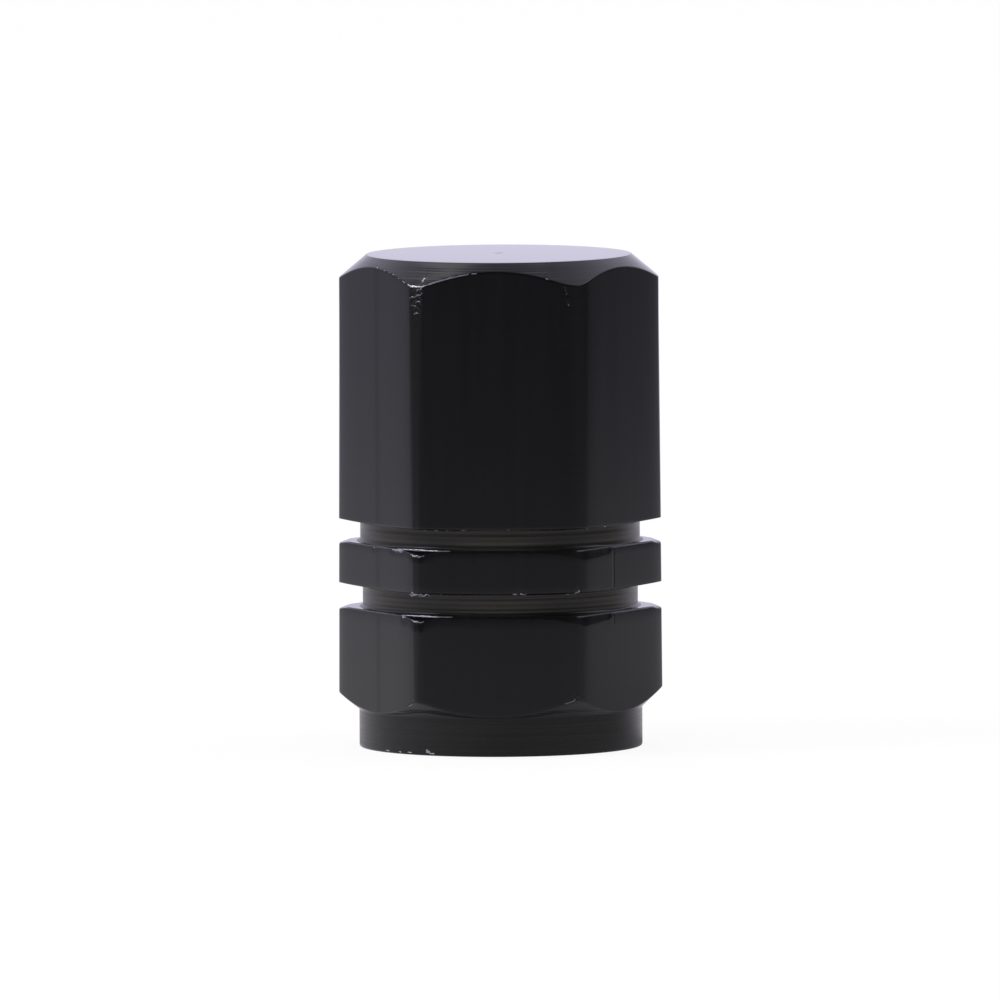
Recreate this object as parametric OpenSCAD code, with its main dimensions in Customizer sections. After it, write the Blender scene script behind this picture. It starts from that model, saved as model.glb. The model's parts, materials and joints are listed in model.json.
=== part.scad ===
// Screw-on tyre valve cap, turned from hexagon aluminium bar.
// The origin is the centre of the open rim that the cap stands on. +Z runs up to the closed top.
// A flat of the hexagon faces -Y, and two of its corners lie on the X axis.

/* [Hexagon bar] */
// Width of the bar across its flats
across_flats = 10; // [9:0.1:13]
// Metal turned off each sharp corner of the bar, measured on the radius
corner_cut = 0.15; // [0.05:0.01:0.4]
// Height of the cap from its open rim to its top face
overall_h = 17.3; // [16:0.1:24]

/* [Top] */
// How far the edge of the round top face lies inside the flats
top_inset = 0.35; // [0.1:0.05:1.5]
// Slope of the top chamfer above the horizontal, in degrees
top_chamfer_angle = 40; // [25:1:50]

/* [Skirt] */
// Height of the round skirt, from the rim to the bottom chamfer
skirt_h = 1.35; // [0.6:0.05:2.5]
// How far the skirt lies inside the flats
skirt_inset = 0.03; // [0.01:0.01:0.3]
// Slope of the chamfer above the skirt, in degrees
bottom_chamfer_angle = 43; // [25:1:50]
// Edge break round the outside of the rim
rim_break = 0.08; // [0.04:0.01:0.2]

/* [Grooves] */
// Height of the lower hexagon, from the skirt to the lower groove
lower_hex_h = 3.58; // [2.5:0.01:5]
// Width of the lower groove
lower_groove_w = 0.78; // [0.5:0.01:1.2]
// How far the floor of the lower groove lies inside the flats
lower_groove_inset = 0.15; // [0.03:0.01:0.4]
// Height of the hexagon ring between the grooves
ring_h = 1.53; // [0.8:0.01:2.5]
// Width of the upper groove
upper_groove_w = 0.72; // [0.5:0.01:1.2]
// How far the floor of the upper groove lies inside the flats
upper_groove_inset = 0.07; // [0.03:0.01:0.4]
// Radius that the tool's nose leaves at both roots of a groove
root_radius = 0.12; // [0.05:0.01:0.2]
// How far the chamfer on the corners below a groove reaches in
lip_chamfer_w = 0.3; // [0.1:0.01:0.5]
// Slope of that chamfer above the horizontal, in degrees
lip_chamfer_angle = 30; // [15:1:45]
// How far the edge above a groove rises towards the corners
eave_rise = 0.05; // [0.02:0.01:0.15]

/* [Bore] */
// Diameter inside the crests of the valve thread
thread_minor_d = 6.9; // [6.4:0.05:7.2]
// Diameter at the roots of the valve thread
thread_major_d = 7.75; // [7.3:0.05:8.2]
// Depth of the threaded bore, from the rim
thread_depth = 9.3; // [6:0.1:11]
// How far the mouth opens beyond the thread's roots
mouth_lead = 0.15; // [0.05:0.01:0.35]
// How far the relief behind the thread is cut beyond the thread's roots
relief_depth = 0.1; // [0.05:0.01:0.3]
// Length of the relief that the seal leaves free for the thread to run out
thread_runout = 0.4; // [0.2:0.05:1]
// Angle of the drill's point, in degrees
drill_point_angle = 118; // [90:1:135]

/* [Seal] */
// Thickness of the rubber seal
seal_t = 1.6; // [0.8:0.1:2.5]
// Diameter of the hole through the seal
seal_hole_d = 3.2; // [2:0.1:5]
// Edge break on the seal's outer corners
seal_break = 0.15; // [0.05:0.01:0.3]
// Gap between the seal and the wall of the relief
seal_clearance = 0.04; // [0.02:0.01:0.15]

/* [Hidden] */
$fn = 144;
// Straight steps in the quarter circle at each root of a groove
root_steps = 3;
// Overlap that carries the bore's cutting shape out through the rim
cut_through = 0.5;

flat_r = across_flats / 2;
bar_corner_r = flat_r / cos(30);
corner_r = bar_corner_r - corner_cut;
skirt_r = flat_r - skirt_inset;
top_r = flat_r - top_inset;
lower_groove_r = flat_r - lower_groove_inset;
upper_groove_r = flat_r - upper_groove_inset;

lip_r = corner_r - lip_chamfer_w;
lip_fall = lip_chamfer_w * tan(lip_chamfer_angle);

bottom_chamfer_z = skirt_h + (corner_r - skirt_r) * tan(bottom_chamfer_angle);
lower_ledge_z = skirt_h + lower_hex_h;
ring_bottom_z = lower_ledge_z + lower_groove_w;
upper_ledge_z = ring_bottom_z + ring_h;
upper_hex_z = upper_ledge_z + upper_groove_w;
top_chamfer_z = overall_h - (corner_r - top_r) * tan(top_chamfer_angle);

thread_r = thread_minor_d / 2;
thread_root_r = thread_major_d / 2;
mouth_r = thread_root_r + mouth_lead;
relief_r = thread_root_r + relief_depth;
seal_bottom_z = thread_depth + thread_runout;
seat_z = seal_bottom_z + seal_t;
drill_point_h = thread_r / tan(drill_point_angle / 2);

seal_r = relief_r - seal_clearance;
seal_hole_r = seal_hole_d / 2;

// Turn in degrees along a quarter circle, at each of its steps
function root_turns() = [for (i = [0 : root_steps]) 90 * i / root_steps];

// Half section of a groove's floor: a rounded root, the floor itself, and the root above it
function groove_section(floor_r, ledge_z, eave_z) = concat(
    [for (a = root_turns())
        [floor_r + root_radius * (1 - sin(a)), ledge_z + root_radius * (1 - cos(a))]],
    [for (a = root_turns())
        [floor_r + root_radius * (1 - cos(a)), eave_z - root_radius * (1 - sin(a))]]
);

// Drawn hexagon bar that the cap is cut from, with a flat towards -Y
module hexagon_bar() {
    linear_extrude(height = overall_h)
        circle(r = bar_corner_r, $fn = 6);
}

// Half section that the lathe leaves: skirt, bottom chamfer, both grooves and top chamfer
module turned_section() {
    polygon(concat(
        [[0, 0], [skirt_r - rim_break, 0], [skirt_r, rim_break], [skirt_r, skirt_h]],
        [[corner_r, bottom_chamfer_z], [corner_r, lower_ledge_z - lip_fall], [lip_r, lower_ledge_z]],
        groove_section(lower_groove_r, lower_ledge_z, ring_bottom_z),
        [[corner_r, ring_bottom_z + eave_rise]],
        [[corner_r, upper_ledge_z - lip_fall], [lip_r, upper_ledge_z]],
        groove_section(upper_groove_r, upper_ledge_z, upper_hex_z),
        [[corner_r, upper_hex_z + eave_rise], [corner_r, top_chamfer_z]],
        [[top_r, overall_h], [0, overall_h]]
    ));
}

// Half section of the blind hole: mouth, thread core, relief, seat of the seal and drill point
module bore_section() {
    polygon([
        [0, -cut_through],
        [mouth_r + cut_through, -cut_through],
        [thread_r, mouth_r - thread_r],
        [thread_r, thread_depth],
        [relief_r, thread_depth],
        [relief_r, seat_z],
        [thread_r, seat_z],
        [0, seat_z + drill_point_h],
    ]);
}

// One-piece aluminium body: hexagon bar cut to the turned section and bored from below
module cap_body() {
    color("#1d1d20")
        difference() {
            intersection() {
                hexagon_bar();
                rotate_extrude() turned_section();
            }
            rotate_extrude() bore_section();
        }
}

// Rubber ring that lies flat against its seat in the relief and seals on the valve's mouth
module seal_ring() {
    color("#26262a")
        rotate_extrude()
            polygon([
                [seal_hole_r, seal_bottom_z],
                [seal_r - seal_break, seal_bottom_z],
                [seal_r, seal_bottom_z + seal_break],
                [seal_r, seat_z - seal_break],
                [seal_r - seal_break, seat_z],
                [seal_hole_r, seat_z],
            ]);
}

cap_body();
seal_ring();
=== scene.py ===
"""Dress the tyre valve cap: black anodised, turned from hexagon bar, with a thread and a rubber seal.

The classes hold their sizes in millimetres. Meshes are written in metres, in the frame's own place.
"""

import json
import logging
import math
from dataclasses import dataclass
from enum import Enum
from typing import Any, Sequence

import bpy
import numpy as np
from mathutils import Matrix, Vector


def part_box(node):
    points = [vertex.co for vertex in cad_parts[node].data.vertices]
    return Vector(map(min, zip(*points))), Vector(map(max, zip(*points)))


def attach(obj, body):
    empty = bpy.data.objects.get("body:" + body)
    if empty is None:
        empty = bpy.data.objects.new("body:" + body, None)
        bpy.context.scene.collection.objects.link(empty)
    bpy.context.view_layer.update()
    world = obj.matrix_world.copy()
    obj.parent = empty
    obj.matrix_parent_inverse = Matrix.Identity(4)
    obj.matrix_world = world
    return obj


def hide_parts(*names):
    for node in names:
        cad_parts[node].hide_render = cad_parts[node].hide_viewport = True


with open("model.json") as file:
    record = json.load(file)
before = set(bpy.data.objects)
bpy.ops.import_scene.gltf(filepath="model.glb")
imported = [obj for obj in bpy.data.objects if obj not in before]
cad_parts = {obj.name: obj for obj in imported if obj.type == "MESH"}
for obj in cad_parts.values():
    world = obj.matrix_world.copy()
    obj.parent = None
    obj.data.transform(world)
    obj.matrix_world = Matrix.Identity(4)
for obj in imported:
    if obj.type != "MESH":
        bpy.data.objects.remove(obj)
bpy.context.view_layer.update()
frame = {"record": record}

MM = 0.001
SIDES = 6
BARE_ATTRIBUTE = "bare"
SURFACE_MAP = "surface_mm"

log = logging.getLogger("valve_cap")


def linear(colour: str) -> tuple[float, float, float, float]:
    """Turn an sRGB hex colour into the linear values that a socket takes.

    Args:
        colour: The colour, as in "#1a1a1c".

    Returns:
        Linear red, green, blue and an alpha of 1.
    """
    channels = [int(colour[i:i + 2], 16) / 255 for i in (1, 3, 5)]
    red, green, blue = (c / 12.92 if c <= 0.04045 else ((c + 0.055) / 1.055) ** 2.4 for c in channels)
    return red, green, blue, 1.0


def add_node(tree: bpy.types.NodeTree, kind: str, inputs: dict[Any, Any] | None = None,
             **settings: Any) -> bpy.types.Node:
    """Add one node with its settings and its links.

    Args:
        tree: The tree that the node goes into.
        kind: The node's type.
        inputs: A value, or the socket to link, for each input by name or index.
        **settings: The node's own properties.

    Returns:
        The new node.
    """
    new = tree.nodes.new(kind)
    for name, value in settings.items():
        setattr(new, name, value)
    for name, value in (inputs or {}).items():
        if isinstance(value, bpy.types.NodeSocket):
            tree.links.new(value, new.inputs[name])
        else:
            new.inputs[name].default_value = value
    return new


def new_object(name: str, mesh: bpy.types.Mesh) -> bpy.types.Object:
    """Put a mesh into the scene as an object at the origin.

    Args:
        name: The piece's name.
        mesh: Its mesh, in metres.

    Returns:
        The object.
    """
    made = bpy.data.objects.new(name, mesh)
    bpy.context.scene.collection.objects.link(made)
    return made


def from_tree(name: str, start: bpy.types.Mesh, tree: bpy.types.NodeTree,
              values: dict[str, Any]) -> bpy.types.Object:
    """Run a Geometry Nodes tree on a mesh and keep its result as a plain mesh.

    Args:
        name: The piece's name.
        start: The mesh that the tree works on.
        tree: The tree.
        values: A value for each of the tree's named inputs.

    Returns:
        An object at the origin, with no modifier.
    """
    carrier = new_object(name, start)
    modifier = carrier.modifiers.new(name, "NODES")
    modifier.node_group = tree
    for item in tree.interface.items_tree:
        if item.item_type == "SOCKET" and item.in_out == "INPUT" and item.name in values:
            modifier[item.identifier] = values[item.name]
    carrier.update_tag()
    graph = bpy.context.evaluated_depsgraph_get()
    result = bpy.data.meshes.new_from_object(carrier.evaluated_get(graph))
    carrier.modifiers.remove(modifier)
    carrier.data = result
    result.name = name
    return carrier


class Finish(Enum):
    """The surfaces of the body, in the order of its material slots."""

    DRAWN = 0
    TURNED = 1
    CHAMFERED = 2
    GROOVED = 3
    SKIRT = 4
    FACED = 5
    BORED = 6


class Edge(Enum):
    """The outer edges of the body that nicks and burrs lie on."""

    TOP_SCALLOP = "top scallop"
    UPPER_FOOT = "foot of the upper hexagon"
    RING_LIP = "inner edge of the ring's broken crest"
    RING_CREST = "crest of the ring"
    RING_FOOT = "foot of the ring"
    LOWER_LIP = "inner edge of the lower hexagon's broken crest"
    LOWER_CREST = "crest of the lower hexagon"
    BOTTOM_SCALLOP = "bottom scallop"
    RIM = "rim"


@dataclass(frozen=True)
class DrawnBar:
    """Hexagon bar as it was drawn through its die, with its corners turned off.

    Args:
        flat_r: Half the width across the flats.
        corner_r: Radius that the corners are turned to.
        taper: How much wider that cut runs for each millimetre further down.
        true_height: Height at which it has its own radius.
        bulge: How far the middle of a flat stands proud.
        crown: How much a flat falls away per square millimetre from its middle.
        roll: How far a flat has rolled off at its edge.
        blend: Size of the soft step between a flat and a turned corner.
        soft_corner: The one corner that the polishing rounded, in degrees.
        soft_blend: Size of the soft step there.
    """

    flat_r: float
    corner_r: float
    taper: float = 0.0044
    true_height: float = 13.8
    bulge: float = 0.012
    crown: float = 0.0028
    roll: float = 0.02
    blend: float = 0.02
    soft_corner: float = -60.0
    soft_blend: float = 0.17

    @property
    def half_flat(self) -> float:
        """Half the width of one flat, up to the turned corner."""
        return math.sqrt(self.corner_r ** 2 - self.flat_r ** 2)

    @property
    def perimeter(self) -> float:
        """Way round the bar, over its flats and its turned corners.

        Returns:
            The way round, in millimetres.
        """
        off = math.acos(self.flat_r / self.corner_r)
        corner = 2 * (math.pi / SIDES - off) * self.corner_r
        return SIDES * (2 * self.flat_r * math.tan(off) + corner)

    def off_middle(self, angle: np.ndarray) -> np.ndarray:
        """Angle in degrees from the middle of the nearest flat."""
        return (angle + 120) % 60 - 30

    def corner_at(self, height: float) -> float:
        """Radius of the turned corners at a height."""
        return self.corner_r + self.taper * (self.true_height - height)

    def reach(self, angle: np.ndarray, height: float) -> np.ndarray:
        """Radius of the bar at each angle.

        Args:
            angle: Angles round the axis in degrees, with the middle of a flat at -90.
            height: The height at which it is taken.

        Returns:
            The radius at each angle.
        """
        corner = self.corner_at(height)
        off = np.radians(self.off_middle(angle))
        across = np.abs(self.flat_r * np.tan(off))
        sag = self.crown * across ** 2 + self.roll * (across / self.half_flat) ** 8 - self.bulge
        bar = (self.flat_r - sag) / np.cos(off)
        blend = self.blend_at(angle)
        share = np.clip(0.5 + 0.5 * (corner - bar) / blend, 0, 1)
        return corner * (1 - share) + bar * share - blend * share * (1 - share)

    def blend_at(self, angle: np.ndarray) -> np.ndarray:
        """Size of the soft step at each angle."""
        near = np.abs((angle - self.soft_corner + 180) % 360 - 180) < 30
        return np.where(near, self.soft_blend, self.blend)

    def stations(self, corner_zone: float, corner_step: float, step: float, front_step: float) -> np.ndarray:
        """Angles at which the body's section is set out, close together at the corners.

        Args:
            corner_zone: Half width of the close stretch round each corner, in degrees.
            corner_step: Step within that stretch.
            step: Step over the rest of a flat.
            front_step: The same step on the front flat.

        Returns:
            Angles in degrees, rising from the first corner.
        """
        angles: list[float] = []
        for side in range(SIDES):
            start = -120 + 60 * side
            middle_step = front_step if side == 0 else step
            near = math.ceil(corner_zone / corner_step)
            middle = math.ceil((60 - 2 * corner_zone) / middle_step)
            angles += list(np.linspace(start, start + corner_zone, near, endpoint=False))
            angles += list(np.linspace(start + corner_zone, start + 60 - corner_zone, middle, endpoint=False))
            angles += list(np.linspace(start + 60 - corner_zone, start + 60, near, endpoint=False))
        return np.array(angles)


class LatheSection:
    """Rows of points down the body's section, with one radius and height for every station."""

    def __init__(self, stations: int) -> None:
        """Start with no rows.

        Args:
            stations: How many stations lie round the axis.
        """
        self.stations = stations
        self.radii: list[np.ndarray] = []
        self.heights: list[np.ndarray] = []
        self.finishes: list[Finish] = []

    def spread(self, value: float | np.ndarray) -> np.ndarray:
        """The value at every station."""
        return np.broadcast_to(np.asarray(value, float), (self.stations,))

    def start(self, radius: float | np.ndarray, height: float | np.ndarray) -> None:
        """Add the first row."""
        self.radii.append(self.spread(radius))
        self.heights.append(self.spread(height))

    def to(self, radius: float | np.ndarray, height: float | np.ndarray, finish: Finish,
           steps: int = 1) -> None:
        """Run straight to a new row.

        Args:
            radius: Radius of the new row.
            height: Height of the new row.
            finish: Finish of the surface on the way.
            steps: How many rows the way is cut into.
        """
        first_r, first_z = self.radii[-1], self.heights[-1]
        for share in np.linspace(0, 1, steps + 1)[1:]:
            self.radii.append(first_r + (self.spread(radius) - first_r) * share)
            self.heights.append(first_z + (self.spread(height) - first_z) * share)
            self.finishes.append(finish)

    def bend(self, corner: tuple[Any, Any], end: tuple[Any, Any], finish: Finish, steps: int = 4) -> None:
        """Round a corner of the section.

        Args:
            corner: Radius and height of the sharp corner.
            end: Radius and height where the rounding ends.
            finish: Finish of the rounding.
            steps: How many rows it takes.
        """
        first_r, first_z = self.radii[-1], self.heights[-1]
        for t in np.linspace(0, 1, steps + 1)[1:]:
            weights = (1 - t) ** 2, 2 * t * (1 - t), t ** 2
            self.radii.append(weights[0] * first_r + weights[1] * self.spread(corner[0])
                              + weights[2] * self.spread(end[0]))
            self.heights.append(weights[0] * first_z + weights[1] * self.spread(corner[1])
                                + weights[2] * self.spread(end[1]))
            self.finishes.append(finish)


@dataclass(frozen=True)
class Lip:
    """How the crest below a groove is broken at one corner.

    Args:
        angle: The corner, in degrees.
        width: How far the broken edge reaches in.
        drop: How far it reaches down.
    """

    angle: float
    width: float
    drop: float


# The tool that broke the crests bit steeply into one front corner.
LIPS = (Lip(-180, 0.3, 0.09), Lip(-120, 0.33, 0.17), Lip(-60, 0.07, 0.3), Lip(0, 0.3, 0.09),
        Lip(60, 0.3, 0.17), Lip(120, 0.3, 0.17))

# Fall of the crest's broken edge between the corners: pairs of an angle in degrees and a fall.
EDGE_FALLS = ((-180, 0.05), (-150, 0.065), (-135, 0.04), (-105, 0.06), (-90, 0.07), (-75, 0.08),
              (-68, 0.1), (-62, 0.2), (-56, 0.34), (-50, 0.3), (-40, 0.22), (-37, 0.08), (-17, 0.06),
              (0, 0.05), (60, 0.08), (120, 0.08))


@dataclass(frozen=True)
class Groove:
    """One turned groove, with a broken crest below it and a sharp foot above.

    Args:
        floor_r: Radius of the floor.
        ledge: Height of the ledge at the groove's lower side.
        eave: Height of its upper side.
        root: Radius at both roots.
        eave_rise: How far the upper side rises towards the corners.
        lips: How the crest is broken at each corner.
        edge_break: How wide it is broken between the corners.
        edge_falls: How far it falls there.
        rag: How ragged it is.
    """

    floor_r: float
    ledge: float
    eave: float
    root: float = 0.12
    eave_rise: float = 0.05
    lips: tuple[Lip, ...] = LIPS
    edge_break: float = 0.05
    edge_falls: tuple[tuple[float, float], ...] = EDGE_FALLS
    rag: float = 0.01

    def broken_edge(self, angle: np.ndarray, reach: np.ndarray,
                    full_reach: float) -> tuple[np.ndarray, np.ndarray]:
        """Where the broken crest starts and how far it falls.

        Args:
            angle: Angles round the axis, in degrees.
            reach: Radius of the bar at each angle.
            full_reach: Radius of the bar's turned corners.

        Returns:
            The radius at which it starts and its fall, at each angle.
        """
        turns = [lip.angle for lip in self.lips]
        width = np.interp(angle, turns, [lip.width for lip in self.lips], period=360)
        slope = np.interp(angle, turns, [lip.drop / lip.width for lip in self.lips], period=360)
        soft = np.minimum(self.edge_break, 0.45 * (reach - self.floor_r))
        fall = np.interp(angle, [a for a, _ in self.edge_falls], [f for _, f in self.edge_falls], period=360)
        turn = np.radians(angle)
        fall = fall + 0.5 * self.rag * (np.sin(50 * turn) + np.sin(117 * turn + self.ledge))
        inner = full_reach - width
        start = np.minimum(inner, reach - soft)
        return start, np.maximum(fall, (reach - inner) * slope)

    def cut(self, section: LatheSection, angle: np.ndarray, reach: np.ndarray, full_reach: float) -> None:
        """Run the section from the wall above the groove to the wall below it.

        Args:
            section: The section so far, at the foot of the wall above.
            angle: The stations, in degrees.
            reach: Radius of the bar at each station.
            full_reach: Radius of the bar's turned corners.
        """
        gap = reach - self.floor_r
        root = np.minimum(self.root, 0.45 * gap)
        rise = self.eave_rise * gap / (full_reach - self.floor_r)
        foot = np.minimum(0.012, 0.3 * gap)
        start, fall = self.broken_edge(angle, reach, full_reach)
        soft = 0.2 * np.hypot(reach - start, fall)
        across, down = (reach - start) * 0.2, fall * 0.2
        section.bend((reach, self.eave + rise), (reach - foot, self.eave + rise), Finish.TURNED, 3)
        section.to(self.floor_r + root, self.eave, Finish.TURNED, 2)
        section.bend((self.floor_r, self.eave), (self.floor_r, self.eave - root), Finish.GROOVED)
        section.to(self.floor_r, self.ledge + root, Finish.GROOVED, 3)
        section.bend((self.floor_r, self.ledge), (self.floor_r + root, self.ledge), Finish.GROOVED)
        section.to(np.maximum(start - soft, self.floor_r + root + 0.05 * gap), self.ledge, Finish.TURNED, 3)
        section.bend((start, self.ledge), (start + across, self.ledge - down), Finish.TURNED, 3)
        section.to(reach - across, self.ledge - fall + down, Finish.TURNED, 3)
        section.bend((reach, self.ledge - fall), (reach, self.ledge - fall - soft), Finish.TURNED, 3)


@dataclass(frozen=True)
class Nick:
    """A stretch along an edge where the film is knocked off and a fine burr of bare metal stands.

    Args:
        edge: The edge that it follows.
        first: Where it starts round the axis, in degrees.
        last: Where it ends.
        girth: Thickness of its burr.
        rise: How far above the edge it runs.
        slant: How much further up its last end is.
        wave: How far it wanders up and down.
        dent: How deep the metal is knocked in.
    """

    edge: Edge
    first: float
    last: float
    girth: float = 0.03
    rise: float = 0.0
    slant: float = 0.0
    wave: float = 0.0
    dent: float = 0.012

    @property
    def length(self) -> float:
        """Its length along the edge, in degrees."""
        return self.last - self.first


NICKS = (
    Nick(Edge.TOP_SCALLOP, -123.6, -121.0, 0.03, 0.03, -0.03),
    Nick(Edge.TOP_SCALLOP, -121.4, -117.4, 0.026, 0.02, -0.02, 0.01),
    Nick(Edge.TOP_SCALLOP, -118.0, -115.4, 0.034, -0.02, 0.02),
    Nick(Edge.TOP_SCALLOP, -114.9, -109.4, 0.044),
    Nick(Edge.TOP_SCALLOP, -110.0, -105.6, 0.03),
    Nick(Edge.TOP_SCALLOP, -105.8, -100.6, 0.026),
    Nick(Edge.TOP_SCALLOP, -99.3, -97.6, 0.034),
    Nick(Edge.TOP_SCALLOP, -119.0, -118.4, 0.05, 0.3, 0.02, 0.0, 0.03),
    Nick(Edge.TOP_SCALLOP, -118.4, -116.2, 0.034, 0.35, 0.16, 0.01, 0.02),
    Nick(Edge.TOP_SCALLOP, -147.6, -146.6, 0.03, 0.02),
    Nick(Edge.TOP_SCALLOP, -144.2, -143.6, 0.014),
    Nick(Edge.TOP_SCALLOP, -141.0, -140.2, 0.018),
    Nick(Edge.TOP_SCALLOP, -137.4, -136.6, 0.014),
    Nick(Edge.TOP_SCALLOP, -134.4, -133.6, 0.018, 0.02),
    Nick(Edge.TOP_SCALLOP, -130.2, -129.4, 0.016),
    Nick(Edge.TOP_SCALLOP, -127.6, -125.0, 0.014),
    Nick(Edge.TOP_SCALLOP, -119.6, -117.2, 0.012, -0.14, 0.09, 0.02, 0.006),
    Nick(Edge.TOP_SCALLOP, -119.8, -117.4, 0.012, -0.34, 0.1, 0.02, 0.006),
    Nick(Edge.TOP_SCALLOP, -122.2, -120.2, 0.008, -0.4, 0.05, 0.02, 0.006),
    Nick(Edge.TOP_SCALLOP, -119.8, -117.8, 0.01, -0.56, 0.08, 0.02, 0.006),
    Nick(Edge.TOP_SCALLOP, -121.8, -119.8, 0.008, -0.7, 0.05, 0.02, 0.006),
    Nick(Edge.TOP_SCALLOP, -120.4, -118.6, 0.007, -0.96, 0.05, 0.02, 0.006),
    Nick(Edge.TOP_SCALLOP, -70.3, -69.7, 0.034, 0.02),
    Nick(Edge.TOP_SCALLOP, -63.9, -63.4, 0.034, -0.14, -0.2, 0.0, 0.03),
    Nick(Edge.TOP_SCALLOP, -63.0, -62.6, 0.022, -0.62, -0.1, 0.0, 0.02),
    Nick(Edge.UPPER_FOOT, -117.1, -116.3, 0.014),
    Nick(Edge.UPPER_FOOT, -113.6, -112.2, 0.018),
    Nick(Edge.UPPER_FOOT, -109.6, -108.4, 0.016),
    Nick(Edge.UPPER_FOOT, -104.2, -101.8, 0.022),
    Nick(Edge.UPPER_FOOT, -85.8, -84.8, 0.018),
    Nick(Edge.UPPER_FOOT, -69.5, -68.7, 0.014),
    Nick(Edge.UPPER_FOOT, -55.1, -54.3, 0.014),
    Nick(Edge.UPPER_FOOT, -43.6, -42.4, 0.018),
    Nick(Edge.RING_LIP, -131.6, -108.2, 0.054, dent=0.0),
    Nick(Edge.RING_CREST, -122.6, -117.2, 0.04, wave=0.01),
    Nick(Edge.RING_CREST, -151.0, -150.2, 0.014),
    Nick(Edge.RING_CREST, -136.0, -128.0, 0.01),
    Nick(Edge.RING_FOOT, -123.6, -120.0, 0.04, -0.03, 0.0, 0.04),
    Nick(Edge.RING_FOOT, -122.4, -117.8, 0.032, 0.03, -0.08, 0.03),
    Nick(Edge.RING_FOOT, -119.0, -115.2, 0.04, -0.02, 0.0, 0.04),
    Nick(Edge.RING_FOOT, -111.9, -110.9, 0.012),
    Nick(Edge.RING_FOOT, -83.6, -81.5, 0.036),
    Nick(Edge.RING_FOOT, -80.8, -78.2, 0.04, 0.0, 0.0, 0.01),
    Nick(Edge.RING_FOOT, -64.2, -62.8, 0.016),
    Nick(Edge.RING_FOOT, -61.4, -58.8, 0.028, 0.0, 0.1, 0.01),
    Nick(Edge.LOWER_LIP, -129.0, -107.6, 0.05, dent=0.0),
    Nick(Edge.LOWER_CREST, -122.4, -117.4, 0.036, wave=0.01),
    Nick(Edge.LOWER_CREST, -128.0, -126.0, 0.016),
    Nick(Edge.BOTTOM_SCALLOP, -122.0, -120.2, 0.026, 0.07, 0.03, 0.01),
    Nick(Edge.BOTTOM_SCALLOP, -125.0, -121.6, 0.018, -0.03),
    Nick(Edge.BOTTOM_SCALLOP, -61.3, -60.1, 0.024, 0.05, 0.05),
    Nick(Edge.BOTTOM_SCALLOP, -64.4, -61.4, 0.014),
    Nick(Edge.RIM, -142.6, -141.0, 0.03),
    Nick(Edge.RIM, -134.9, -133.3, 0.026),
    Nick(Edge.RIM, -129.3, -127.3, 0.03),
    Nick(Edge.RIM, -120.4, -118.9, 0.024, 0.03),
    Nick(Edge.RIM, -118.9, -116.9, 0.03),
)


@dataclass(frozen=True)
class Chatter:
    """Ripples that the tool left on one turned corner, just under the top.

    Args:
        angle: The corner, in degrees.
        half_width: Half the width of the rippled strip, in degrees.
        start: Distance of the first ripple below the edge.
        length: Length of the strip.
        pitch: Distance from ripple to ripple.
        depth: Depth of a ripple.
        bow: How far a ripple bows across the strip, as a share of the pitch.
        stray: How unevenly the ripples follow each other, as a share of the pitch.
        row: Height of the rows that the mesh has over the strip.
    """

    angle: float = -119.6
    half_width: float = 2.6
    start: float = 0.1
    length: float = 1.2
    pitch: float = 0.21
    depth: float = 0.032
    bow: float = 0.4
    stray: float = 0.12
    row: float = 0.04


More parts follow.
